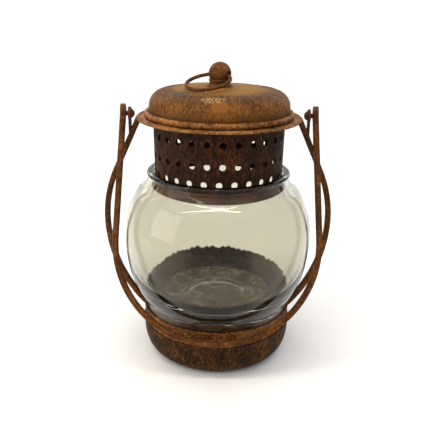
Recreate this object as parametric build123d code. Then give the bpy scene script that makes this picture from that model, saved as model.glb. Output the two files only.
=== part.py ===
from build123d import *
import os
from math import asin, atan2, cos, degrees, hypot, radians, sin

# A hanging lantern: a glass jar trapped in a welded iron frame, with a lift-off hammered lid,
# a loose pull ring through the lid's ball knob, and a swinging bail handle folded down in front.
# Millimetres, +Z up, origin at the centre of the flat underside. "left" is -X, the front is -Y.

SHEET = 1.0              # thickness of the sheet-iron parts
BOND = 0.05              # slip clearance between sheet parts soldered into each other

# Base
PAN_FLAT_R = 46.0
PAN_R = 65.0
PAN_WIDEST_Z = 27.5
PAN_TOP_Z = 30.0
PAN_POWER = 0.75         # how square the pan's rounded corner is: 1 is an ellipse
BAND_R = 63.7
BAND_BOTTOM_Z = 26.0
BAND_TOP_Z = 42.6
BAND_BEAD_R = 0.9
RIB_R = 0.45
RIB_HEIGHTS = (33.0, 36.0, 39.0)
SEAT_Z = 35.5            # the jar stands on this level

# Glass jar
NECK_BORE_R = 54.4
LIP_R = 59.8
LIP_Z = 161.2

# Perforated collar and the sleeve that plugs into the jar's mouth
COLLAR_TOP_R = 53.7
COLLAR_BOTTOM_R = 52.9
COLLAR_BOTTOM_Z = 154.0
SLEEVE_GAP = 0.15        # solder gap between the collar and its sleeve
SLEEVE_THICK = 0.8
SLEEVE_LIP = 1.2         # in-turned lower edge of the sleeve
SLEEVE_BOTTOM_Z = 148.4  # at the front
SLEEVE_RISE = 4.2        # how much higher the sleeve's hand-cut lower edge is at the back
SLEEVE_TOP_Z = 158.0
SLEEVE_RIB_R = 0.3
SLEEVE_RIB_HEIGHTS = (150.6, 152.8, 155.0)
HOLE_R = 2.5
HOLES_AROUND = 28
HOLE_ROWS = {194.8: -86.7, 178.0: -86.7, 163.9: -89.3}   # each row's height: its first hole

# Brim
BRIM_Z = 207.5           # top of the flat ledge that carries the lid
BRIM_LEDGE_R = 60.4
BRIM_DISH_R = 63.6
BRIM_DISH_DEPTH = 1.1
BRIM_EDGE_R = 66.2
BRIM_EDGE_DROP = 0.1     # how far the edge stays under the ledge
BRIM_ROLL_R = 0.85
BRIM_ROLL_DROP = 0.7

# Lid
LID_GAP = 0.25           # the lid's rim hovers this little above the brim
RIM_SECTION_R = 2.3
RIM_CENTRE_R = 58.8
DOME_R = 57.5
DOME_TOP_Z = 231.4
CROWN_DROP = 3.8         # how far the crown falls from its centre to the dome's radius
SHOULDER_R = 13.0
SKIRT_R = 52.2
SKIRT_DEPTH = 7.0
KNOB_FOOT_R = 10.3
KNOB_NECK_R = 8.2
KNOB_CUP_R = 8.8
KNOB_CUP_TOP_Z = 237.2
KNOB_FOOT_EDGE = 0.6     # heights above the crown's centre, going up the knob's foot
KNOB_NECK_LOW = 2.2
KNOB_NECK_HIGH = 3.2
KNOB_CUP_LOW = 4.2
KNOB_CUP_EDGE = 0.4      # height of the bevel round the cup's top
KNOB_CUP_BEVEL = 0.8     # width of that bevel
BALL_R = 9.0
BALL_Z = 241.4
STUD_R = 2.0
STUD_BOTTOM_Z = 223.5
STUD_TOP_Z = 236.6
WASHER_R = 6.0
WASHER_THICK = 1.0
NUT_ACROSS_FLATS = 7.0
NUT_HEIGHT = 3.2

# Pull ring
RING_R = 17.4
RING_WIRE_R = 1.4
RING_GAP_DEG = 2.0       # where the wire's two ends meet
RING_GAP_TURN_DEG = -60.0
RING_BORE_R = 3.2
RING_BORE_Z = 240.6
RING_BORE_DEG = -35.0    # the way the ball's cross hole points, turned from +X
RING_TILT_DEG = 14.9     # how far the ring droops from level
RING_REACH = 16.3        # from the cross hole's axis to the ring's centre

# Side arms: a straight run at the top, then two tangent arcs
BAR_THICK = 4.6
BAR_WIDE = 6.5
BAR_EDGE_R = 1.4
ARM_APEX_X = 94.8
ARM_APEX_Z = 119.0
ARM_UPPER_R = 103.5
ARM_LOWER_R = 118.4
ARM_SLOPE_DEG = 24.6     # the straight run, from upright
ARM_RUN = 50.0
ARM_LOWER_TURN_DEG = 48.0
ARM_TOP_DROP = 0.7       # the arm stops this far under the ledge's level

# Bail handle and its pivots
PIVOT_Z = 208.6
PIVOT_X = 78.2           # middle of each handle eye
HANDLE_LEAN_DEG = 21.4   # folded down: the loop's plane, from upright
LOOP_R = 82.4
LOOP_CENTRE = 104.0      # from the pivots to the loop's centre, along the legs
EYE_R = 5.6
EYE_OFFSET = 2.2
EYE_THICK = 3.6
EAR_R = 5.3
EAR_INNER_X = 71.9
EAR_THICK = 1.9
EAR_TAIL_WIDE = 5.6
EAR_TAIL_BOTTOM_Z = 188.0
PIN_R = 1.9
PIN_CLEARANCE = 0.08
PIN_HEAD_R = 3.8
PIN_HEAD_HEIGHT = 2.8
PIN_HEAD_GAP = 0.3


def turned(profile):
    """Revolve a flat profile, drawn as (radius, height), about the lantern's axis."""
    return revolve(Plane.XZ * profile, Axis.Z)


def outline(*points):
    """A flat face with straight sides through the given (radius, height) points."""
    return make_face(Polyline(*points, close=True))


def ring_section(inner, outer, low, high):
    """A rectangular section between two radii and two heights."""
    return outline((inner, low), (outer, low), (outer, high), (inner, high))


def bead(radius, height, section_r):
    """A round section centred at a radius and a height."""
    return Pos(radius, height) * Circle(section_r)


def mirrored(solid):
    """The same piece on the other side."""
    return mirror(solid, Plane.YZ)


# ---------------------------------------------------------------- base


def pan_face(inset, top_z):
    """Half section of the pan's body, drawn in from its outside by the inset.

    The corner is a quarter of a superellipse from the flat bottom to the widest height.
    """
    run = PAN_R - inset - PAN_FLAT_R
    rise = PAN_WIDEST_Z - inset
    turns = [radians(15 * i) for i in range(7)]
    corner = [
        (PAN_FLAT_R + run * sin(a) ** PAN_POWER, PAN_WIDEST_Z - rise * cos(a) ** PAN_POWER)
        for a in turns
    ]
    rest = Polyline(corner[-1], (PAN_R - inset, top_z), (0, top_z), (0, inset), corner[0])
    return make_face(Spline(*corner, tangents=[(1, 0), (0, 1)]) + rest)


def make_base_pan():
    """Spun and hammered foot pan, closed below and open above."""
    outer = turned(pan_face(0, PAN_TOP_Z))
    return outer - turned(pan_face(SHEET, PAN_TOP_Z + SHEET))


def make_base_band():
    """Gallery band round the jar's foot, ribbed, with a rolled top edge."""
    section = ring_section(BAND_R - SHEET, BAND_R, BAND_BOTTOM_Z, BAND_TOP_Z)
    section += bead(BAND_R, BAND_TOP_Z, BAND_BEAD_R)
    for height in RIB_HEIGHTS:
        section += bead(BAND_R, height, RIB_R)
    section -= ring_section(0, BAND_R - SHEET, BAND_BOTTOM_Z, BAND_TOP_Z + SHEET)
    return turned(section)


def make_jar_seat_plate():
    """Flat plate inside the band, under the jar."""
    return turned(ring_section(0, BAND_R - SHEET, SEAT_Z - SHEET, SEAT_Z))


# ---------------------------------------------------------------- glass


def make_glass_jar():
    """Round-shouldered jar with a heavy foot, a hollow under it and a rolled lip."""
    punt = ThreePointArc((0, 40.0), (22, 39.2), (40, SEAT_Z))
    foot = Line((40, SEAT_Z), (55, SEAT_Z))
    heel = TangentArc((55, SEAT_Z), (61.8, 41.8), tangent=(1, 0))
    outside = Spline(
        (61.8, 41.8),
        (65.0, 51.5),
        (70.7, 62.0),
        (76.8, 79.5),
        (79.6, 102.0),
        (78.0, 122.0),
        (70.8, 142.0),
        (62.0, 152.0),
        (58.0, 158.6),
    )
    lip = ThreePointArc((58.0, 158.6), (LIP_R, LIP_Z), (56.6, 163.4))
    mouth = Polyline((56.6, 163.4), (NECK_BORE_R, 162.6), (NECK_BORE_R, 157.5))
    inside = Spline(
        (NECK_BORE_R, 157.5),
        (59.0, 150.6),
        (68.2, 140.4),
        (75.2, 121.5),
        (76.8, 102.0),
        (73.8, 80.5),
        (67.6, 66.5),
        (60.0, 57.8),
        (50.0, 53.4),
        (38.7, 50.0),
        (25.0, 48.0),
        (0, 48.6),
    )
    axis = Line((0, 48.6), (0, 40.0))
    return turned(make_face(punt + foot + heel + outside + lip + mouth + inside + axis))


# ---------------------------------------------------------------- collar and brim


def make_perforated_collar():
    """Tapered sheet tube with three rows of vent holes, the lowest a little out of line."""
    tube = turned(
        outline(
            (COLLAR_BOTTOM_R - SHEET, COLLAR_BOTTOM_Z),
            (COLLAR_BOTTOM_R, COLLAR_BOTTOM_Z),
            (COLLAR_TOP_R, BRIM_Z),
            (COLLAR_TOP_R - SHEET, BRIM_Z),
        )
    )
    drill = Pos(COLLAR_TOP_R, 0, 0) * Rot(0, 90, 0) * Cylinder(HOLE_R, 6 * SHEET)
    holes = [
        Rot(0, 0, first + 360 / HOLES_AROUND * i) * Pos(0, 0, height) * drill
        for height, first in HOLE_ROWS.items()
        for i in range(HOLES_AROUND)
    ]
    return tube - holes


def make_collar_sleeve():
    """Smooth ribbed sleeve soldered round the collar's lower end, inside the jar's mouth.

    Its lower edge is cut by a slightly tilted plane and turned in.
    """
    inner = COLLAR_BOTTOM_R + SLEEVE_GAP
    outer = inner + SLEEVE_THICK
    section = ring_section(inner, outer, SLEEVE_BOTTOM_Z, SLEEVE_TOP_Z)
    for height in SLEEVE_RIB_HEIGHTS:
        section += bead(outer - BOND, height, SLEEVE_RIB_R)
    tilt = degrees(atan2(SLEEVE_RISE, 2 * outer))
    edge = Pos(0, 0, SLEEVE_BOTTOM_Z + SLEEVE_RISE / 2) * Rot(tilt, 0, 0)
    below = edge * Pos(0, 0, -PAN_R) * Box(4 * PAN_R, 4 * PAN_R, 2 * PAN_R)
    lip = edge * turned(ring_section(inner - SLEEVE_LIP, inner + SLEEVE_THICK / 2, 0, SLEEVE_THICK))
    return turned(section) - below + lip


def brim_top():
    """The brim's upper side from its hole out to its rolled edge, as (radius, height) points."""
    return [
        (COLLAR_TOP_R + BOND, BRIM_Z),
        (BRIM_LEDGE_R, BRIM_Z),
        (BRIM_DISH_R, BRIM_Z - BRIM_DISH_DEPTH),
        (BRIM_EDGE_R, BRIM_Z - BRIM_EDGE_DROP),
    ]


def make_brim():
    """Dished brim with a rolled edge, welded round the top of the collar."""
    under = [(r, z - SHEET) for r, z in reversed(brim_top())]
    roll = bead(BRIM_EDGE_R, BRIM_Z - BRIM_ROLL_DROP, BRIM_ROLL_R)
    return turned(outline(*brim_top(), *under) + roll)


def above_brim():
    """Everything over the brim's underside and inside its edge."""
    under = [(r, z - SHEET) for r, z in brim_top()]
    high = BRIM_Z + ARM_RUN
    return turned(outline(*under, (BRIM_EDGE_R, high), (under[0][0], high)))


# ---------------------------------------------------------------- side arms and ears


def bar_section():
    """The hand-forged bar's section: flat stock with its corners rounded off."""
    return RectangleRounded(BAR_THICK, BAR_WIDE, BAR_EDGE_R)


def arm_path():
    """Right arm's centre line, and the plane of its section at the top end.

    It runs straight down from the brim, then bulges round the jar in two tangent arcs.
    """
    slope = radians(ARM_SLOPE_DEG)
    joint_x = ARM_APEX_X - ARM_UPPER_R * (1 - cos(slope))
    joint_z = ARM_APEX_Z + ARM_UPPER_R * sin(slope)
    top_x = joint_x - ARM_RUN * sin(slope)
    top_z = joint_z + ARM_RUN * cos(slope)
    upper_centre = (ARM_APEX_X - ARM_UPPER_R, ARM_APEX_Z)
    lower_centre = (ARM_APEX_X - ARM_LOWER_R, ARM_APEX_Z)
    path = Plane.XZ * (
        Line((top_x, top_z), (joint_x, joint_z))
        + CenterArc(upper_centre, ARM_UPPER_R, 0, ARM_SLOPE_DEG)
        + CenterArc(lower_centre, ARM_LOWER_R, 0, -ARM_LOWER_TURN_DEG)
    )
    across = (cos(slope), 0, sin(slope))
    along = (sin(slope), 0, -cos(slope))
    return path, Plane(origin=(top_x, 0, top_z), x_dir=across, z_dir=along)


def make_arm_right(brim, band):
    """Arm swept along its path, cut to fit under the brim's edge and against the band."""
    path, start = arm_path()
    bar = sweep(start * bar_section(), path=path)
    inside_band = turned(ring_section(0, BAND_R, 0, BAND_TOP_Z + BAND_BEAD_R))
    overrun = Pos(0, 0, BRIM_Z + ARM_RUN - ARM_TOP_DROP) * Box(4 * PAN_R, BAR_WIDE, 2 * ARM_RUN)
    return bar - above_brim() - brim - overrun - inside_band - band


def make_ear_right(arm):
    """Upright eye for the handle's pin: a disc with a tail welded to the arm."""
    flat = Plane(origin=(EAR_INNER_X, 0, PIVOT_Z), x_dir=(0, 1, 0), z_dir=(1, 0, 0))
    tail_length = PIVOT_Z - EAR_TAIL_BOTTOM_Z
    shape = Circle(EAR_R) + Pos(0, -tail_length / 2) * Rectangle(EAR_TAIL_WIDE, tail_length)
    shape -= Circle(PIN_R + PIN_CLEARANCE)
    plate = extrude(flat * shape, EAR_THICK)
    return plate - arm


# ---------------------------------------------------------------- lid


def dome_outline(radius, top_z, shoulder_r):
    """Half outline of the dome: a gently domed crown, a round shoulder and an upright wall."""
    rim_z = BRIM_Z + LID_GAP + RIM_SECTION_R
    crown = ThreePointArc(
        (0, top_z), (radius / 2, top_z - CROWN_DROP / 4), (radius, top_z - CROWN_DROP)
    )
    rest = Polyline((radius, top_z - CROWN_DROP), (radius, rim_z), (0, rim_z), (0, top_z))
    face = make_face(crown + rest)
    corner = face.vertices().sort_by(Axis.X)[-2:].sort_by(Axis.Y)[-1]
    return fillet(corner, shoulder_r)


def make_lid_dome():
    """Hammered dome, open below, drilled at the crown for the knob's stud."""
    outer = turned(dome_outline(DOME_R, DOME_TOP_Z, SHOULDER_R))
    inner = turned(dome_outline(DOME_R - SHEET, DOME_TOP_Z - SHEET, SHOULDER_R - SHEET))
    hole = Pos(0, 0, DOME_TOP_Z) * Cylinder(STUD_R + BOND, SHOULDER_R)
    return outer - inner - hole


def make_lid_rim_ring():
    """Rolled ring round the dome's lower edge, rebated to hold the wall."""
    centre_z = BRIM_Z + LID_GAP + RIM_SECTION_R
    section = bead(RIM_CENTRE_R, centre_z, RIM_SECTION_R)
    section -= ring_section(0, DOME_R, centre_z, centre_z + RIM_SECTION_R)
    return turned(section)


def make_lid_skirt(rim_ring):
    """Locating skirt that drops into the collar, with a flange out to the rolled ring."""
    top_z = BRIM_Z + LID_GAP + RIM_SECTION_R
    section = ring_section(SKIRT_R - SHEET, SKIRT_R, BRIM_Z - SKIRT_DEPTH, top_z)
    section += ring_section(SKIRT_R - SHEET, DOME_R, top_z - SHEET, top_z)
    return turned(section) - rim_ring


def make_knob_base(ball):
    """Turned foot between the crown and the ball, cupped to seat the ball."""
    top_z = KNOB_CUP_TOP_Z
    section = outline(
        (STUD_R + BOND, DOME_TOP_Z - SHEET / 2),
        (KNOB_FOOT_R, DOME_TOP_Z - SHEET / 2),
        (KNOB_FOOT_R, DOME_TOP_Z + KNOB_FOOT_EDGE),
        (KNOB_NECK_R, DOME_TOP_Z + KNOB_NECK_LOW),
        (KNOB_NECK_R, DOME_TOP_Z + KNOB_NECK_HIGH),
        (KNOB_CUP_R, DOME_TOP_Z + KNOB_CUP_LOW),
        (KNOB_CUP_R, top_z - KNOB_CUP_EDGE),
        (KNOB_CUP_R - KNOB_CUP_BEVEL, top_z),
        (STUD_R + BOND, top_z),
    )
    under = turned(dome_outline(DOME_R, DOME_TOP_Z, SHOULDER_R))
    return turned(section) - under - ball


def ring_frame():
    """Plane of the pull ring's cross hole: x along the hole, y the way the ring lies, z up."""
    return Plane(
        origin=(0, 0, RING_BORE_Z),
        x_dir=(cos(radians(RING_BORE_DEG)), sin(radians(RING_BORE_DEG)), 0),
        z_dir=(0, 0, 1),
    )


def make_ball():
    """Whole ball, before drilling."""
    return Pos(0, 0, BALL_Z) * Sphere(BALL_R)


def make_knob_ball(ball):
    """Ball knob with the ring's cross hole and a blind hole for the stud."""
    bore = ring_frame() * Rot(0, 90, 0) * Cylinder(RING_BORE_R, 3 * BALL_R)
    depth = STUD_TOP_Z - STUD_BOTTOM_Z
    blind = Pos(0, 0, STUD_TOP_Z - depth / 2) * Cylinder(STUD_R + BOND, depth)
    return ball - bore - blind


def make_knob_stud():
    """Plain stud that ties the ball, its foot and the dome together."""
    length = STUD_TOP_Z - STUD_BOTTOM_Z
    return Pos(0, 0, STUD_BOTTOM_Z + length / 2) * Cylinder(STUD_R, length)


def washer_top():
    """Height where the washer's edge meets the inside of the crown."""
    fall = CROWN_DROP * (WASHER_R / DOME_R) ** 2
    return DOME_TOP_Z - SHEET - fall - BOND


def make_knob_washer():
    """Plain washer under the crown."""
    top_z = washer_top()
    return turned(ring_section(STUD_R + BOND, WASHER_R, top_z - WASHER_THICK, top_z))


def make_knob_nut():
    """Hexagon nut on the stud, inside the lid."""
    top_z = washer_top() - WASHER_THICK
    blank = RegularPolygon(NUT_ACROSS_FLATS / 2, 6, major_radius=False) - Circle(STUD_R + BOND)
    return extrude(Pos(0, 0, top_z) * blank, -NUT_HEIGHT)


def make_pull_ring():
    """Bent wire ring, its ends butted, drooping forward from the ball's cross hole."""
    wire = Plane.XZ * bead(RING_R, 0, RING_WIRE_R)
    hoop = revolve(wire, Axis.Z, 360 - RING_GAP_DEG)
    placed = Pos(0, -RING_REACH, 0) * Rot(0, 0, RING_GAP_TURN_DEG) * hoop
    return ring_frame() * Rot(RING_TILT_DEG, 0, 0) * placed


# ---------------------------------------------------------------- bail handle


def handle_plane():
    """Plane of the folded handle: x along the pivots, y up the legs, z square to the loop."""
    lean = radians(HANDLE_LEAN_DEG)
    return Plane(origin=(0, 0, PIVOT_Z), x_dir=(1, 0, 0), z_dir=(0, -cos(lean), sin(lean)))


def leg_spread():
    """Angle at which a leg leaves its pivot to run tangent into the loop, in radians."""
    return asin(LOOP_R / hypot(PIVOT_X, LOOP_CENTRE)) - atan2(PIVOT_X, LOOP_CENTRE)


def make_bail_handle():
    """One bar bent to a loop: two legs, a round belly, and a flattened eye at each end."""
    spread = leg_spread()
    touch_x = LOOP_R * cos(spread)
    touch_y = -LOOP_CENTRE + LOOP_R * sin(spread)
    start_angle = degrees(spread)
    path = (
        Line((-PIVOT_X, 0), (-touch_x, touch_y))
        + CenterArc((0, -LOOP_CENTRE), LOOP_R, 180 - start_angle, 180 + 2 * start_angle)
        + Line((touch_x, touch_y), (PIVOT_X, 0))
    )
    across = (cos(spread), -sin(spread), 0)
    along = (-sin(spread), -cos(spread), 0)
    start = Plane(origin=(-PIVOT_X, 0, 0), x_dir=across, z_dir=along)
    bar = sweep(start * bar_section(), path=path)
    eye = extrude(Plane.YZ * (Pos(EYE_OFFSET, 0) * Circle(EYE_R)), EYE_THICK / 2, both=True)
    hole = Rot(0, 90, 0) * Cylinder(PIN_R, 4 * EYE_THICK)
    for side in (-1, 1):
        bar += Pos(side * PIVOT_X, 0, 0) * eye
    for side in (-1, 1):
        bar -= Pos(side * PIVOT_X, 0, 0) * hole
    return handle_plane() * bar


def make_hinge_pin_right():
    """Rivet fixed in the handle's eye and turning in the ear, with a domed inner head."""
    head_x = EAR_INNER_X - PIN_HEAD_GAP
    outer_x = PIVOT_X + EYE_THICK / 2
    axis = Plane(origin=(head_x, 0, PIVOT_Z), x_dir=(0, 1, 0), z_dir=(1, 0, 0))
    shank = extrude(axis * Circle(PIN_R), outer_x - head_x)
    dome_r = (PIN_HEAD_R**2 + PIN_HEAD_HEIGHT**2) / (2 * PIN_HEAD_HEIGHT)
    dome = Pos(head_x - PIN_HEAD_HEIGHT + dome_r, 0, PIVOT_Z) * Sphere(dome_r)
    slab = Box(PIN_HEAD_HEIGHT, 4 * PIN_HEAD_R, 4 * PIN_HEAD_R)
    return shank + (dome & (Pos(head_x - PIN_HEAD_HEIGHT / 2, 0, PIVOT_Z) * slab))


# ---------------------------------------------------------------- all nodes


def make_nodes():
    """Every piece under its node name, each in its place."""
    band = make_base_band()
    brim = make_brim()
    arm = make_arm_right(brim, band)
    ear = make_ear_right(arm)
    rim_ring = make_lid_rim_ring()
    ball = make_ball()
    handle = make_bail_handle()
    pin = make_hinge_pin_right()
    return {
        "base_pan": make_base_pan(),
        "base_band": band,
        "jar_seat_plate": make_jar_seat_plate(),
        "glass_jar": make_glass_jar(),
        "arm_right": arm,
        "arm_left": mirrored(arm),
        "ear_right": ear,
        "ear_left": mirrored(ear),
        "brim": brim,
        "perforated_collar": make_perforated_collar(),
        "collar_sleeve": make_collar_sleeve(),
        "lid_dome": make_lid_dome(),
        "lid_rim_ring": rim_ring,
        "lid_skirt": make_lid_skirt(rim_ring),
        "knob_base": make_knob_base(ball),
        "knob_ball": make_knob_ball(ball),
        "knob_stud": make_knob_stud(),
        "knob_washer": make_knob_washer(),
        "knob_nut": make_knob_nut(),
        "pull_ring": make_pull_ring(),
        "bail_handle": handle,
        "hinge_pin_right": pin,
        "hinge_pin_left": mirrored(pin),
    }


os.makedirs("parts", exist_ok=True)
for node, solid in make_nodes().items():
    export_step(solid, f"parts/{node}.step")
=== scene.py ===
import math

import bmesh
import bpy
import numpy as np
from mathutils import Matrix, Vector


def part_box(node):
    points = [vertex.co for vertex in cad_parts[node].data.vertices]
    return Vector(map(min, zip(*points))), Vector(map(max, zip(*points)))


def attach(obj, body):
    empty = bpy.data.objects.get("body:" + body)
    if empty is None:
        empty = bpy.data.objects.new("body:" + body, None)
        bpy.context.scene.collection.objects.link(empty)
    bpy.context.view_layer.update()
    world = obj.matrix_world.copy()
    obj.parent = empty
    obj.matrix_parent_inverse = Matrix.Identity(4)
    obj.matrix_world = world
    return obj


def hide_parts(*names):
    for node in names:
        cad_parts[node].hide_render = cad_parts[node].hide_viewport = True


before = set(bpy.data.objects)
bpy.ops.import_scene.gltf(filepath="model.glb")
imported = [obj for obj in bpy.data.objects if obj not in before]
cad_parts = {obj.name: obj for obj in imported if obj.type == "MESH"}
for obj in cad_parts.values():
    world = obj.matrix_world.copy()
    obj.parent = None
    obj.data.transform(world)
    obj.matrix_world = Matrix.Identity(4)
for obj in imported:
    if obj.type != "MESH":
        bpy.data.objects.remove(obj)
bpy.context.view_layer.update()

# A rustic jar lantern: hammered and patinated iron round a heavy-bottomed glass jar.
# The scene is in metres, +Z up, with its front towards -Y. The three pieces made here are drawn
# in millimetres and brought to metres with MM.

MM = 0.001
TURN = 2 * math.pi


# ---------------------------------------------------------------- small tools


def linear(hex_colour):
    """Turns an sRGB hex colour into the linear red, green, blue and alpha that shaders take."""
    parts = np.array([int(hex_colour[i:i + 2], 16) for i in (1, 3, 5)]) / 255
    low = parts / 12.92
    high = ((parts + 0.055) / 1.055) ** 2.4
    return (*np.where(parts <= 0.04045, low, high), 1.0)


def add(tree, kind, inputs=None, stops=(), **settings):
    """Adds one node. Settings are its own values. Inputs are constants, hex colours, sockets to
    link in, or nodes whose first output is linked in. Stops are a colour ramp's (position, hex
    colour) pairs."""
    node = tree.nodes.new(kind)
    for name, value in settings.items():
        setattr(node, name, value)
    for key, value in (inputs or {}).items():
        if isinstance(value, bpy.types.Node):
            value = value.outputs[0]
        if isinstance(value, bpy.types.NodeSocket):
            tree.links.new(value, node.inputs[key])
        else:
            node.inputs[key].default_value = linear(value) if isinstance(value, str) else value
    if stops:
        elements = node.color_ramp.elements
        for element, (position, colour) in zip(elements, (stops[0], stops[-1])):
            element.position, element.color = position, linear(colour)
        for position, colour in stops[1:-1]:
            elements.new(position).color = linear(colour)
    return node


def around(count):
    """Angles of a closed ring of points."""
    return np.arange(count) / count * TURN


def smooth_line(knots, steps):
    """A curve through the knots: between two of them, a cubic whose end slopes are half the
    chord between each one's neighbours (Catmull and Rom's spline), sampled in equal steps."""
    knots = np.asarray(knots, float)
    padded = np.vstack([2 * knots[0] - knots[1], knots, 2 * knots[-1] - knots[-2]])
    t = np.linspace(0, 1, steps, endpoint=False)[None, :, None]
    p0, p1, p2, p3 = (padded[i:len(padded) - 3 + i, None] for i in range(4))
    cubic = -p0 + 3 * p1 - 3 * p2 + p3
    square = 2 * p0 - 5 * p1 + 4 * p2 - p3
    curve = 0.5 * (2 * p1 + (p2 - p0) * t + square * t**2 + cubic * t**3)
    return np.vstack([curve.reshape(-1, knots.shape[1]), knots[-1:]])


def spaced(line, count):
    """The same line sampled at equal distances along it."""
    line = np.asarray(line, float)
    run = np.concatenate([[0], np.cumsum(np.hypot(*np.diff(line, axis=0).T))])
    at = np.linspace(0, run[-1], count)
    return np.stack([np.interp(at, run, line[:, 0]), np.interp(at, run, line[:, 1])], 1)


def arc(centre, radius, start_deg, end_deg, count):
    """Points of a circular arc in a (radius, height) plane."""
    turn = np.radians(np.linspace(start_deg, end_deg, count))
    return np.stack([centre[0] + radius * np.cos(turn), centre[1] + radius * np.sin(turn)], 1)


def cells(turn, run, columns, length, seed):
    """How far each point is, in cells, from the nearest of a jittered grid of seeds, one to a
    cell. The grid has so many columns round the lantern, where it closes on itself, and its
    cells are so many millimetres long along the run."""
    across, along = np.broadcast_arrays(turn / TURN * columns, run / length)
    rows = int(along.max()) + 3
    spots = np.random.default_rng(seed).random((columns, rows, 2))
    column, row = np.floor(across).astype(int), np.floor(along).astype(int)
    nearest = np.full(across.shape, np.inf)
    for step_across in (-1, 0, 1):
        for step_along in (-1, 0, 1):
            near_column, near_row = column + step_across, row + step_along
            centre = spots[near_column % columns, near_row % rows]
            gap = np.hypot(
                near_column + centre[..., 0] - across, near_row + centre[..., 1] - along
            )
            nearest = np.minimum(nearest, gap)
    return nearest


WAVE_SPREAD = 1.6   # brings nearly all of a sum of waves to between -1 and 1


def waves(angle, along, turns, lengths, count, seed):
    """A smooth uneven surface between -1 and 1: cosines with a whole number of turns round the
    axis, up to the given number, each with its own wavelength along and phase, added up."""
    rng = np.random.default_rng(seed)
    total = np.zeros(np.broadcast(angle, along).shape)
    for _ in range(count):
        number = rng.integers(1, turns + 1)
        length = rng.uniform(*lengths)
        total += np.cos(number * angle + along * TURN / length + rng.uniform(0, TURN))
    return total / math.sqrt(count) / WAVE_SPREAD


def closed_grid(name, points, marks, loop):
    """A mesh from rows of points round the axis, each row closed on itself.

    With loop the last row joins the first; without it the first and last rows lie on the axis,
    where their points are merged. The marks are vectors for each point, by name, that the
    piece's material reads.
    """
    rows, columns = points.shape[:2]
    index = np.arange(rows * columns).reshape(rows, columns)
    low = index if loop else index[:-1]
    high = np.roll(index, -1, 0) if loop else index[1:]
    quads = np.stack([low, np.roll(low, -1, 1), np.roll(high, -1, 1), high], -1)
    mesh = bpy.data.meshes.new(name)
    mesh.from_pydata((points * MM).reshape(-1, 3), [], quads.reshape(-1, 4).tolist())
    for mark, values in marks.items():
        layer = mesh.attributes.new(mark, "FLOAT_VECTOR", "POINT")
        layer.data.foreach_set("vector", values.astype(np.float32).ravel())
    if not loop:
        whole = bmesh.new()
        whole.from_mesh(mesh)
        bmesh.ops.remove_doubles(whole, verts=whole.verts, dist=0.001 * MM)
        whole.to_mesh(mesh)
        whole.free()
    mesh.polygons.foreach_set("use_smooth", np.ones(len(mesh.polygons), bool))
    piece = bpy.data.objects.new(name, mesh)
    bpy.context.scene.collection.objects.link(piece)
    return piece


def revolved(profile, count):
    """Rows of points: each (radius, height) of the profile turned about the axis."""
    turn = around(count)[None, :]
    radius, height = profile[:, :1], profile[:, 1:]
    return np.stack([radius * np.cos(turn), radius * np.sin(turn), height + 0 * turn], -1)


def outward(profile):
    """Unit normals of a profile drawn with its outside on the right of its direction."""
    step = np.gradient(profile, axis=0)
    normal = np.stack([step[:, 1], -step[:, 0]], 1)
    return normal / np.maximum(np.hypot(*normal.T), 1e-9)[:, None]


def run_along(profile):
    """Distance along a profile at each of its points."""
    return np.concatenate([[0], np.cumsum(np.hypot(*np.diff(profile, axis=0).T))])


def skin_flow(profile, radius, count):
    """Where the pattern sits: the angle on a circle of one radius, and the run along the profile,
    so that streaks follow the profile and crowd together towards the axis."""
    turn = around(count)[None, :]
    run = run_along(profile)[:, None] + 0 * turn
    circle = (radius * np.cos(turn) + 0 * run, radius * np.sin(turn) + 0 * run)
    return np.stack([*circle, run], -1) * MM


def pushed(profile, push, count):
    """The turned profile, each point moved along its normal by the push."""
    turn = around(count)[None, :]
    normal = outward(profile)
    radius = profile[:, :1] + normal[:, :1] * push
    height = profile[:, 1:] + normal[:, 1:] * push
    return np.stack([radius * np.cos(turn), radius * np.sin(turn), height], -1)


def fade(value, low, high):
    """0 below low, 1 above high, and a smooth ramp between them."""
    t = np.clip((value - low) / (high - low), 0, 1)
    return t * t * (3 - 2 * t)


SHOULDER_R_MM = 50   # the dome's radius where its patches are measured round it


def spot(turn, run, middle_deg, middle_run, half_wide, half_high):
    """1 inside an oval patch of the shoulder, fading to 0 at its edge; sizes in millimetres."""
    aside = (turn - math.radians(middle_deg) + math.pi) % TURN - math.pi
    wide, high = aside * SHOULDER_R_MM / half_wide, (run - middle_run) / half_high
    return fade(1 - wide**2 - high**2, 0, 0.5)


# ---------------------------------------------------------------- materials


OXIDE_SPECULAR = 0.08                        # dull oxide throws back less than clean metal
PATINA_POSITIONS = (0.46, 0.58, 0.70, 0.88)  # where a patina's four colours lie in its tone


def started(name):
    """A new material with an empty node tree."""
    material = bpy.data.materials.new(name)
    material.use_nodes = True
    material.node_tree.nodes.clear()
    return material, material.node_tree


def iron(tree, colour, height, relief_mm, roughness):
    """Finishes a material as dull oxide: the colour, a relief of the given depth from the height,
    and hollows a little rougher than the tops."""
    bump = add(
        tree, "ShaderNodeBump", {"Height": height, "Strength": 1.0, "Distance": relief_mm * MM}
    )
    rough = add(
        tree, "ShaderNodeMapRange",
        {"Value": height, "From Min": 0.4, "From Max": 0.9, "To Min": roughness + 0.1,
         "To Max": roughness - 0.1},
    )
    shader = add(
        tree, "ShaderNodeBsdfPrincipled",
        {"Base Color": colour, "Roughness": rough, "Normal": bump,
         "Specular IOR Level": OXIDE_SPECULAR},
    )
    add(tree, "ShaderNodeOutputMaterial", {"Surface": shader})


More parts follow.
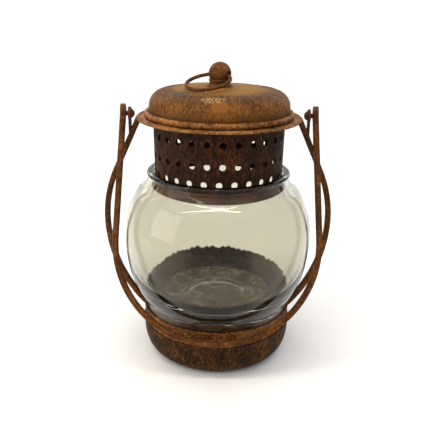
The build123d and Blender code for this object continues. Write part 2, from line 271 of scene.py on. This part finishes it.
def patina(name, colours, grain_mm, stretch, relief_mm, roughness, attribute=None):
    """Patinated iron: four colours, from the scale in the hollows to the rubbed high spots, over
    noise of the grain's size, drawn out by the stretch, with finer specks and broad clouds."""
    material, tree = started(name)
    if attribute:
        place = add(tree, "ShaderNodeAttribute", attribute_name=attribute).outputs["Vector"]
    else:
        place = add(tree, "ShaderNodeTexCoord").outputs["Object"]
    drawn = add(tree, "ShaderNodeMapping", {"Vector": place, "Scale": (1, 1, 1 / stretch)})
    mottle = add(
        tree, "ShaderNodeTexNoise",
        {"Vector": drawn, "Scale": 1 / (grain_mm * MM), "Detail": 5.0, "Roughness": 0.6,
         "Distortion": 0.6},
    )
    speck = add(
        tree, "ShaderNodeTexNoise",
        {"Vector": place, "Scale": 1 / (0.25 * grain_mm * MM), "Detail": 3.0, "Roughness": 0.6},
    )
    cloud = add(
        tree, "ShaderNodeTexNoise",
        {"Vector": place, "Scale": 1 / (9 * grain_mm * MM), "Detail": 2.0, "Roughness": 0.6},
    )
    height = add(tree, "ShaderNodeMath", {0: speck, 1: 0.3, 2: mottle}, operation="MULTIPLY_ADD")
    broad = add(tree, "ShaderNodeMath", {0: cloud, 1: 0.5}, operation="SUBTRACT")
    tone = add(tree, "ShaderNodeMath", {0: broad, 1: 0.5, 2: height}, operation="MULTIPLY_ADD")
    colour = add(
        tree, "ShaderNodeValToRGB", {"Fac": tone}, list(zip(PATINA_POSITIONS, colours))
    )
    iron(tree, colour, height, relief_mm, roughness)
    return material


def dome_patina():
    """The dome's rusty patina: ochre with fine dark grain; dark streaks down the shoulder; a
    smooth, yellower crown, partly its own colour and partly painted sheen where the top catches
    the light;
    dark stains creeping up from the rim; one pale, cracked swelling in front over a smooth
    tongue;
    and a greyer patch of painted bluish sheen on the left shoulder. The flow attribute's third
    value is the run up from the rim, and the second attribute's values mark tongue, cracks and
    the painted sheen."""
    material, tree = started("rust_patina_on_hammered_sheet")
    flow = add(tree, "ShaderNodeAttribute", attribute_name="flow").outputs["Vector"]
    run = add(tree, "ShaderNodeSeparateXYZ", {"Vector": flow}).outputs["Z"]
    marks = add(tree, "ShaderNodeAttribute", attribute_name="blister_and_sheen").outputs["Vector"]
    marks = add(tree, "ShaderNodeSeparateXYZ", {"Vector": marks})
    # The third mark is the patch of painted sheen on the left shoulder.
    tongue, cracked, painted_sheen = marks.outputs

    # Fine mottled grain, a little longer down the dome than round it.
    drawn = add(tree, "ShaderNodeMapping", {"Vector": flow, "Scale": (1, 1, 1 / 1.6)})
    mottle = add(
        tree, "ShaderNodeTexNoise",
        {"Vector": drawn, "Scale": 1 / (1.7 * MM), "Detail": 5.0, "Roughness": 0.6,
         "Distortion": 0.4},
    )
    speck = add(
        tree, "ShaderNodeTexNoise",
        {"Vector": flow, "Scale": 1 / (0.6 * MM), "Detail": 3.0, "Roughness": 0.6},
    )
    cloud = add(
        tree, "ShaderNodeTexNoise",
        {"Vector": flow, "Scale": 1 / (16 * MM), "Detail": 2.0, "Roughness": 0.6},
    )
    height = add(tree, "ShaderNodeMath", {0: speck, 1: 0.35, 2: mottle}, operation="MULTIPLY_ADD")
    broad = add(tree, "ShaderNodeMath", {0: cloud, 1: 0.5}, operation="SUBTRACT")
    tone = add(tree, "ShaderNodeMath", {0: broad, 1: 0.35, 2: height}, operation="MULTIPLY_ADD")
    ochre = add(
        tree, "ShaderNodeValToRGB", {"Fac": tone},
        [(0.42, "#291708"), (0.56, "#523112"), (0.70, "#694219"), (0.90, "#875926")],
    )

    # Streaks 1.5 mm wide and five times as long.
    drawn = add(tree, "ShaderNodeMapping", {"Vector": flow, "Scale": (1, 1, 1 / 5)})
    streak = add(
        tree, "ShaderNodeTexNoise",
        {"Vector": drawn, "Scale": 1 / (1.5 * MM), "Detail": 4.0, "Roughness": 0.6,
         "Distortion": 0.3},
    )
    ruffled = add(tree, "ShaderNodeMath", {0: mottle, 1: 0.5}, operation="SUBTRACT")
    ragged = add(
        tree, "ShaderNodeMath", {0: ruffled, 1: -24 * MM, 2: run}, operation="MULTIPLY_ADD"
    )
    flake = add(
        tree, "ShaderNodeTexVoronoi", {"Vector": flow, "Scale": 1 / (1.5 * MM)},
        feature="DISTANCE_TO_EDGE",
    )
    # Each layer of colour over the ochre: what limits it, as smooth (value, from, to) ramps or a
    # plain mark, its greatest strength, and its colour. Later layers lie over earlier ones: the
    # streaks, the crown (partly painted sheen), the rim's stain, the painted bluish-grey sheen on
    # the left shoulder, the tongue, the pale flakes, the cracks.
    layers = [
        ([(run, 12 * MM, 24 * MM), (run, 42 * MM, 33 * MM), (streak, 0.54, 0.46)],
         0.85, "#2c1c10"),
        # The crown: lighter and yellower, partly its own colour and partly painted sheen on the
        # top.
        ([(run, 27 * MM, 40 * MM)], 0.72, "#865f25"),
        ([(ragged, 6 * MM, 1 * MM)], 0.75, "#3a2211"),
        # Painted sheen: a greyer patch high on the left shoulder, where a bluish light glances
        # off.
        ([painted_sheen, (streak, 0.62, 0.46)], 1.0, "#3a322e"),
        ([tongue], 0.6, "#875420"),
        ([cracked, (flake, 0.12, 0.22)], 1.0, "#bd9467"),
        ([cracked, (flake, 0.14, 0.03)], 0.8, "#4a3018"),
    ]
    colour = ochre
    for limits, share, tint in layers:
        for limit in limits:
            if isinstance(limit, tuple):
                limit = add(
                    tree, "ShaderNodeMapRange",
                    {"Value": limit[0], "From Min": limit[1], "From Max": limit[2]},
                    interpolation_type="SMOOTHSTEP",
                )
            share = add(tree, "ShaderNodeMath", {0: share, 1: limit}, operation="MULTIPLY")
        colour = add(
            tree, "ShaderNodeMix", {0: share, 6: colour, 7: tint}, data_type="RGBA"
        ).outputs[2]
    iron(tree, colour, height, relief_mm=0.28, roughness=0.55)
    return material


def jar_glass():
    """Blown soda glass, faintly grey-green; its warm grey tint is partly painted, standing for a
    beige backdrop seen through it. The thick heel carries a painted refraction of the rusty band
    round it, dark brown and coarse-grained, with painted reflections paler to the sides; where
    "heel" is weak, on the jar's floor, it is a thin swirl painted for what the floor shows
    through it and mirrors."""
    material, tree = started("blown_soda_glass")
    place = add(tree, "ShaderNodeTexCoord").outputs["Object"]
    drift = add(
        tree, "ShaderNodeTexNoise",
        {"Vector": place, "Scale": 1 / (22 * MM), "Detail": 1.0, "Roughness": 0.6},
    )
    bump = add(
        tree, "ShaderNodeBump", {"Height": drift, "Strength": 1.0, "Distance": 0.15 * MM}
    )
    # The warm grey tint is partly painted: besides the glass's own colour, it stands for a beige
    # backdrop seen through it.
    clear = add(
        tree, "ShaderNodeBsdfPrincipled",
        {"Base Color": "#dad8cc", "Roughness": 0.0, "IOR": 1.5, "Transmission Weight": 1.0,
         "Specular Tint": (0.3, 0.3, 0.3, 1), "Normal": bump},
    )
    flat = add(tree, "ShaderNodeMapping", {"Vector": place, "Scale": (1, 1, 1 / 0.4)})
    grain = add(
        tree, "ShaderNodeTexNoise",
        {"Vector": flat, "Scale": 1 / (5 * MM), "Detail": 5.0, "Roughness": 0.6,
         "Distortion": 0.8},
    )
    # Painted refraction: the dark brown of the rusty band as the thick heel shows it.
    painted_heel_view = add(
        tree, "ShaderNodeValToRGB", {"Fac": grain},
        [(0.35, "#1d1209"), (0.5, "#372519"), (0.7, "#5b452e")],
    )
    # Painted view through the jar's floor: a thin swirl for what it shows of the seat plate below
    # and of the white surroundings it mirrors.
    swirl = add(
        tree, "ShaderNodeTexNoise",
        {"Vector": place, "Scale": 1 / (16 * MM), "Detail": 2.0, "Roughness": 0.6,
         "Distortion": 1.5},
    )
    painted_floor_view = add(
        tree, "ShaderNodeValToRGB", {"Fac": swirl},
        [(0.35, "#7b6748"), (0.52, "#a8936f"), (0.68, "#b9b6b2")],
    )
    # Painted reflections: paler patches on the left and right of the heel and floor.
    side = add(tree, "ShaderNodeSeparateXYZ", {"Vector": place}).outputs["X"]
    left, right = (
        add(
            tree, "ShaderNodeMapRange",
            {"Value": side, "From Min": low * MM, "From Max": high * MM},
            interpolation_type="SMOOTHSTEP",
        )
        for low, high in ((-22, -38), (26, 40))
    )
    painted_side_reflection = add(tree, "ShaderNodeMath", {0: left, 1: right}, operation="MAXIMUM")
    painted_side_reflection = add(tree, "ShaderNodeMath", {0: painted_side_reflection, 1: 0.45}, operation="MULTIPLY")
    painted_heel_view = add(tree, "ShaderNodeMix", {0: painted_side_reflection, 6: painted_heel_view, 7: "#8a8276"}, data_type="RGBA")
    heel = add(tree, "ShaderNodeAttribute", attribute_name="heel").outputs["Fac"]
    thick = add(
        tree, "ShaderNodeMapRange", {"Value": heel, "From Min": 0.46, "From Max": 0.6},
        interpolation_type="SMOOTHSTEP",
    )
    tint = add(
        tree, "ShaderNodeMix", {0: thick, 6: painted_floor_view, 7: painted_heel_view.outputs[2]}, data_type="RGBA"
    )
    # A matt surface that carries the painted refraction and painted floor view in place of what
    # the glass would show.
    painted_view_surface = add(
        tree, "ShaderNodeBsdfPrincipled",
        {"Base Color": tint.outputs[2], "Roughness": 0.6, "Specular IOR Level": 0.1},
    )
    both = add(tree, "ShaderNodeMixShader", {0: heel, 1: clear, 2: painted_view_surface})
    add(tree, "ShaderNodeOutputMaterial", {"Surface": both})
    return material


def finish_materials():
    """Every finish under the name of the pieces that wear it."""
    return {
        # The lid: weathered ochre rust over hammered sheet.
        "dome": dome_patina(),
        # Rolled edges, rubbed by hands to a brighter orange-brown.
        "edge": patina(
            "rubbed_rust_patina", ("#3d2612", "#684220", "#88592d", "#ae7f4a"),
            grain_mm=2.4, stretch=1.0, relief_mm=0.12, roughness=0.5,
        ),
        # The ball and its foot: even matt brown with fine grain.
        "knob": patina(
            "matt_rust_patina_on_turned_iron", ("#2e1b0c", "#4e2f15", "#643f1e", "#7c542d"),
            grain_mm=1.1, stretch=1.0, relief_mm=0.10, roughness=0.6,
        ),
        # Dark mottled patina over rolled sheet, with orange flecks drawn out upright.
        "collar": patina(
            "mottled_patina_on_rolled_sheet", ("#150b04", "#23140a", "#331d0c", "#5a3514"),
            grain_mm=1.5, stretch=2.4, relief_mm=0.4, roughness=0.6,
        ),
        # The smooth sleeve: brown with fine rings from the spinning lathe.
        "sleeve": patina(
            "brushed_patina_on_spun_sheet", ("#2d1b0d", "#4b3018", "#6a4624", "#8c6232"),
            grain_mm=3.0, stretch=0.10, relief_mm=0.1, roughness=0.6,
        ),
        # Hammered pan: dark hollows and orange high spots.
        "pan": patina(
            "dark_patina_on_hammered_pan", ("#1a0f06", "#2c1a0a", "#3f260f", "#70451b"),
            grain_mm=2.0, stretch=2.0, relief_mm=0.35, roughness=0.6, attribute="flow",
        ),
        # Band round the foot: worn patina with bare, lighter scratches along it.
        "band": patina(
            "scuffed_patina_on_rolled_band", ("#2f1a0a", "#4f2f14", "#784a22", "#a57c4c"),
            grain_mm=2.6, stretch=0.5, relief_mm=0.25, roughness=0.55,
        ),
        # Forged bar: brown scale with smoother, lighter faces.
        "bar": patina(
            "hand_forged_bar_scale", ("#361e0e", "#482912", "#5b3517", "#7f5027"),
            grain_mm=2.4, stretch=1.0, relief_mm=0.2, roughness=0.5,
        ),
        # Dark forged rivets and fixings.
        "fixing": patina(
            "black_forged_fixing_scale", ("#1a0d06", "#2f1a0d", "#4b2c15", "#744522"),
            grain_mm=1.6, stretch=1.0, relief_mm=0.12, roughness=0.5,
        ),
        # Clear glass with a painted refraction of the rusty band in its thick heel.
        "glass": jar_glass(),
    }


def dress(names, material):
    """Puts a finish on CAD nodes."""
    for name in names:
        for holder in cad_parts[name].material_slots:
            holder.material = material


# ---------------------------------------------------------------- pieces


SHEET_POINTS = 560   # points round a hammered piece
JAR_POINTS = 360     # points round the jar
SHEET_MM = 1.0


def make_dome(material):
    """Hammered dome. Outside: a parabola for the crown, an arc for the shoulder and an upright
    wall; the inside is the same line a sheet's thickness in. The hammer marks are hollows
    on a jittered grid, longer down the dome than round it, deepest on the shoulder."""
    low, high = (np.array(corner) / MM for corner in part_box("lid_dome"))
    radius, foot_z, top_z = high[0], low[2], high[2]
    crown_drop, shoulder, hole_r = 3.8, 13.0, 2.1

    def half(inset, count):
        """The dome's line from the hole out and down, drawn in by the inset."""
        r, s, top = radius - inset, shoulder - inset, top_z - inset
        slope = 2 * crown_drop / r**2
        touch_r = (r - s) / (1 - s * slope)
        crown = np.linspace(hole_r, touch_r, 60)
        crown = np.stack([crown, top - crown_drop * (crown / r) ** 2], 1)
        lean = math.degrees(math.atan(touch_r * slope))
        centre = (r - s, crown[-1, 1] - s * math.cos(math.radians(lean)))
        bend = arc(centre, s, 90 - lean, 0, 60)
        wall = np.array([(r, foot_z)])
        return spaced(np.vstack([crown, bend[1:], wall]), count)

    outside, inside = half(0, 120)[::-1], half(SHEET_MM, 34)
    profile = np.vstack([outside, inside])
    turn = around(SHEET_POINTS)[None, :]
    run = run_along(outside)[:, None]
    reach = outside[:, :1]
    large = cells(turn, run, columns=110, length=6.0, seed=4)
    small = cells(turn, run, columns=200, length=3.0, seed=9)
    depth = fade(reach, 22, 44) * (0.55 + 0.45 * fade(outside[:, 1:], foot_z + 2, foot_z + 9))
    hollow = -0.16 * np.clip(1 - large**2, 0, 1) - 0.08 * np.clip(1 - small**2, 0, 1)
    dents = 0.22 * waves(turn, run, turns=9, lengths=(18, 60), count=14, seed=2) - 0.22
    push = np.zeros((len(profile), SHEET_POINTS))
    push[:len(outside)] = depth * hollow + fade(reach, 4, 30) * dents
    push[:len(outside)] *= fade(run, 0, 3)
    tongue = spot(turn, run, middle_deg=-90, middle_run=14.5, half_wide=7, half_high=6)
    flakes = spot(turn, run, middle_deg=-96, middle_run=22, half_wide=11, half_high=5)
    # A patch of painted sheen high on the left shoulder, where a bluish light glances off.
    painted_sheen_patch = spot(turn, run, middle_deg=-140, middle_run=30, half_wide=16, half_high=7)
    push[:len(outside)] += 0.15 * tongue + 0.12 * flakes
    points = pushed(profile, push, SHEET_POINTS)
    points[len(outside):] = revolved(inside, SHEET_POINTS)
    blister_and_sheen = np.zeros(push.shape + (3,))
    blister_and_sheen[:len(outside)] = np.stack([tongue, flakes, painted_sheen_patch], -1)
    marks = {"flow": skin_flow(profile, radius, SHEET_POINTS), "blister_and_sheen": blister_and_sheen}
    dome = closed_grid("hammered_dome", points, marks, loop=True)
    dome.data.materials.append(material)
    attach(dome, "lid")
    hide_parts("lid_dome")


def make_pan(material):
    """Hammered foot pan: a flat, a superellipse corner and a short upright rim, with upright
    hollows on a jittered grid over the corner."""
    low, high = (np.array(corner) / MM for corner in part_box("base_pan"))
    radius, top_z = high[0], high[2]
    flat_r, widest_z, power = 46.0, 27.5, 0.75

    def half(inset, count):
        """The pan's line from its centre out and up, drawn in by the inset."""
        turn = np.radians(np.linspace(0, 90, 90))
        run, rise = radius - inset - flat_r, widest_z - inset
        corner = np.stack(
            [flat_r + run * np.sin(turn) ** power, widest_z - rise * np.cos(turn) ** power], 1
        )
        return spaced(np.vstack([[(0, inset)], corner, [(radius - inset, top_z)]]), count)

    outside, inside = half(0, 130), half(SHEET_MM, 36)[::-1]
    profile = np.vstack([outside, inside])
    turn = around(SHEET_POINTS)[None, :]
    run = run_along(outside)[:, None]
    large = cells(turn, run, columns=120, length=6.5, seed=21)
    small = cells(turn, run, columns=230, length=3.4, seed=22)
    depth = fade(outside[:, 1:], 0.3, 4) * (1 - 0.7 * fade(outside[:, 1:], 26, 29.5))
    hollow = -0.30 * np.clip(1 - large**2, 0, 1) - 0.12 * np.clip(1 - small**2, 0, 1)
    push = np.zeros((len(profile), SHEET_POINTS))
    dents = 0.12 * waves(turn, run, turns=12, lengths=(15, 50), count=12, seed=5) - 0.12
    push[:len(outside)] = depth * (hollow + dents)
    points = pushed(profile, push, SHEET_POINTS)
    points[len(outside):] = revolved(inside, SHEET_POINTS)
    marks = {"flow": skin_flow(profile, radius, SHEET_POINTS)}
    pan = closed_grid("hammered_pan", points, marks, loop=False)
    pan.data.materials.append(material)
    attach(pan, "frame")
    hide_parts("base_pan")


def make_jar(material):
    """Blown jar: one line from the hollow under its foot, out round the heel, up the globe, over
    the rolled lip and down the inside to the middle of its floor. Slow waves in the inner wall
    and sharper ones round the heel bend what is seen through it."""
    under = smooth_line([(0, 40.0), (12, 39.8), (22, 39.2), (32, 37.6), (40, 35.5)], 8)
    foot = np.array([(44.0, 35.5), (50.0, 35.5), (55.0, 35.5)])
    globe = smooth_line(
        [(58.6, 36.6), (61.8, 41.8), (65.0, 51.5), (70.7, 62.0), (76.8, 79.5), (79.6, 102.0),
         (78.0, 122.0), (70.8, 142.0), (62.0, 152.0), (58.0, 158.6)], 14,
    )
    lip = smooth_line([(58.8, 159.6), (59.8, 161.2), (58.9, 162.8), (56.6, 163.4)], 6)
    mouth = smooth_line([(55.2, 163.2), (54.4, 162.4), (54.4, 157.5)], 4)
    inside = smooth_line(
        [(54.8, 156.0), (59.0, 150.6), (68.2, 140.4), (75.2, 121.5), (76.8, 102.0), (73.8, 80.5),
         (67.6, 66.5), (60.0, 57.8), (50.0, 53.4), (38.7, 50.0)], 14,
    )
    floor = smooth_line(
        [(36.5, 49.2), (33.0, 48.6), (28.0, 48.3), (25.0, 49.1), (22.0, 47.6), (12.0, 48.2),
         (0, 48.8)], 8,
    )
    profile = np.vstack([under, foot, globe, lip, mouth, inside, floor])
    start = len(profile) - len(inside) - len(floor)
    turn = around(JAR_POINTS)[None, :]
    run = run_along(profile)[:, None]
    height = profile[:, 1:]
    within = np.arange(len(profile))[:, None] >= start
    heel = fade(height, 50, 56) * (1 - fade(height, 64, 76))
    wall = fade(height, 66, 90) * (1 - fade(height, 150, 156))
    slow = waves(turn, run, turns=7, lengths=(40, 120), count=10, seed=31)
    sharp = waves(turn, run, turns=30, lengths=(10, 30), count=16, seed=32)
    push = within * (0.10 * wall * slow) + within * 0.06 * heel * sharp

    # Where the painted refraction shows: inside, up to a jagged edge that is higher at the back,
    # the rusty band as the heel shows it; outside, low on the heel and higher in front; and
    # weaker on the jar's floor, where it stands for what the floor shows through it and mirrors.
    # These waves only go round the jar, so their lengths along it don't matter.
    back, front = (np.clip(side * np.sin(turn), 0, 1) for side in (1, -1))
    jags = waves(turn, 0, turns=80, lengths=(9, 10), count=20, seed=41)
    swells = waves(turn, 0, turns=7, lengths=(9, 10), count=5, seed=42)
    notches = waves(turn, 0, turns=40, lengths=(9, 10), count=16, seed=43)
    top = 60.5 + 4.5 * back**2 + 1.3 * jags + 0.8 * swells
    ring = within * fade(top - height, -0.5, 0.5) * fade(profile[:, :1], 45, 51)
    # The painted refraction's mask: inside the heel up to its jagged edge, and weaker over the
    # floor.
    painted_refraction = ring * (0.9 + 0.1 * np.sin(turn)) + 0.44 * within * (profile[:, :1] <= 48)
    edge = 47.0 + 5 * front**3 + 1.2 * notches
    # Outside, low on the heel: more of the band's painted refraction.
    painted_refraction = painted_refraction + 0.95 * ~within * fade(edge - height, -0.6, 0.6) * (profile[:, :1] > 55)
    marks = {"heel": np.repeat(painted_refraction[..., None], 3, -1)}
    jar = closed_grid("blown_jar", pushed(profile, push, JAR_POINTS), marks, loop=False)
    jar.data.materials.append(material)
    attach(jar, "frame")
    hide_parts("glass_jar")


# ---------------------------------------------------------------- studio


def softbox(name, place, target, size, colour, radiance):
    """A rectangular lamp aimed at a point; the radiance is how bright its face looks."""
    lamp = bpy.data.lights.new(name, "AREA")
    lamp.shape = "RECTANGLE"
    lamp.size, lamp.size_y = size
    lamp.color = linear(colour)[:3]
    lamp.energy = radiance * math.pi * size[0] * size[1]
    holder = bpy.data.objects.new(name, lamp)
    bpy.context.scene.collection.objects.link(holder)
    aim = np.array(target) - np.array(place)
    holder.rotation_mode = "QUATERNION"
    holder.rotation_quaternion = Vector(aim).to_track_quat("-Z", "Y")
    holder.location = place


SKY_LIGHT, SKY_LOOK = 0.53, 1.05   # how strongly the sky lights things, and how it looks itself
MIRRORED_SKY = 0.6                 # how far a mirrored sky goes towards how it looks itself


def make_stage():
    """A wide pale floor under an even white sky. The sky looks white to the eye, straight on and
    through the glass, and a little less so in what mirrors it, but gives less light than that."""
    half = 1.0
    mesh = bpy.data.meshes.new("studio_floor")
    mesh.from_pydata([(-half, -half, 0), (half, -half, 0), (half, half, 0), (-half, half, 0)],
                     [], [(0, 1, 2, 3)])
    floor = bpy.data.objects.new("studio_floor", mesh)
    bpy.context.scene.collection.objects.link(floor)
    paint = bpy.data.materials.new("matt_white_paper")
    paint.use_nodes = True
    shader = paint.node_tree.nodes["Principled BSDF"]
    shader.inputs["Base Color"].default_value = linear("#f4f4f4")
    shader.inputs["Roughness"].default_value = 0.9
    shader.inputs["Specular IOR Level"].default_value = 0.0
    mesh.materials.append(paint)

    world = bpy.data.worlds.new("studio_sky")
    bpy.context.scene.world = world
    world.use_nodes = True
    tree = world.node_tree
    tree.nodes.clear()
    path = add(tree, "ShaderNodeLightPath")
    direct = add(
        tree, "ShaderNodeMath",
        {0: path.outputs["Is Camera Ray"], 1: path.outputs["Is Transmission Ray"]},
        operation="MAXIMUM",
    )
    mirrored = add(
        tree, "ShaderNodeMath", {0: path.outputs["Is Glossy Ray"], 1: MIRRORED_SKY},
        operation="MULTIPLY",
    )
    seen = add(tree, "ShaderNodeMath", {0: direct, 1: mirrored}, operation="MAXIMUM")
    strength = add(
        tree, "ShaderNodeMapRange", {"Value": seen, "To Min": SKY_LIGHT, "To Max": SKY_LOOK}
    )
    sky = add(tree, "ShaderNodeBackground", {"Color": (1, 1, 1, 1), "Strength": strength})
    add(tree, "ShaderNodeOutputWorld", {"Surface": sky})


def make_lights():
    """A wide overhead softbox; two window-like panels high behind the lantern, a warm one on the
    left and a cool one on the right, whose light rakes the sides and shows in the glass; a warm
    fill from the left front; and a narrow strip overhead that glints on the collar and rims."""
    middle = (0, 0, 0.13)
    softbox("overhead_softbox", (0, -0.1, 1.5), middle, (2.6, 2.6), "#fffdf8", 0.88)
    softbox("left_window", (-0.85, 0.95, 0.85), middle, (0.9, 0.9), "#fff0dc", 1.75)
    softbox("right_window", (0.85, 0.95, 0.85), middle, (0.9, 0.9), "#e3e9ff", 1.2)
    softbox("left_fill", (-1.3, -0.5, 0.6), middle, (0.9, 1.0), "#fff8ee", 2.7)
    softbox("strip_light", (-0.14, -0.27, 0.88), (-0.14, 0, 0.13), (0.9, 0.03), "#fff6e6", 36.0)


CAMERA_PLACE = (-0.00021, -0.4872, 0.2957)
LOOK_DOWN_DEG, ROLL_DEG = 19.876, 0.894
SENSOR_MM, LENS_MM = 36.0, 49.66


def make_camera():
    """Looks down on the front by about twenty degrees, with a slight roll."""
    data = bpy.data.cameras.new("front_camera")
    data.sensor_width = SENSOR_MM
    data.lens = LENS_MM
    camera = bpy.data.objects.new("front_camera", data)
    bpy.context.scene.collection.objects.link(camera)
    tip = Matrix.Rotation(math.radians(90 - LOOK_DOWN_DEG), 4, "X")
    roll = Matrix.Rotation(math.radians(ROLL_DEG), 4, "Z")
    camera.matrix_world = Matrix.Translation(CAMERA_PLACE) @ tip @ roll
    bpy.context.scene.camera = camera


# ---------------------------------------------------------------- the lantern


finishes = finish_materials()
dress(["lid_rim_ring", "brim"], finishes["edge"])
dress(["knob_base", "knob_ball"], finishes["knob"])
dress(["perforated_collar", "lid_skirt", "jar_seat_plate"], finishes["collar"])
dress(["collar_sleeve"], finishes["sleeve"])
dress(["base_band"], finishes["band"])
dress(["arm_right", "arm_left", "bail_handle", "pull_ring"], finishes["bar"])
dress(["ear_right", "ear_left", "hinge_pin_right", "hinge_pin_left"], finishes["fixing"])
dress(["knob_stud", "knob_washer", "knob_nut"], finishes["fixing"])
make_dome(finishes["dome"])
make_pan(finishes["pan"])
make_jar(finishes["glass"])
make_stage()
make_lights()
make_camera()
bpy.context.scene.view_settings.view_transform = "Standard"
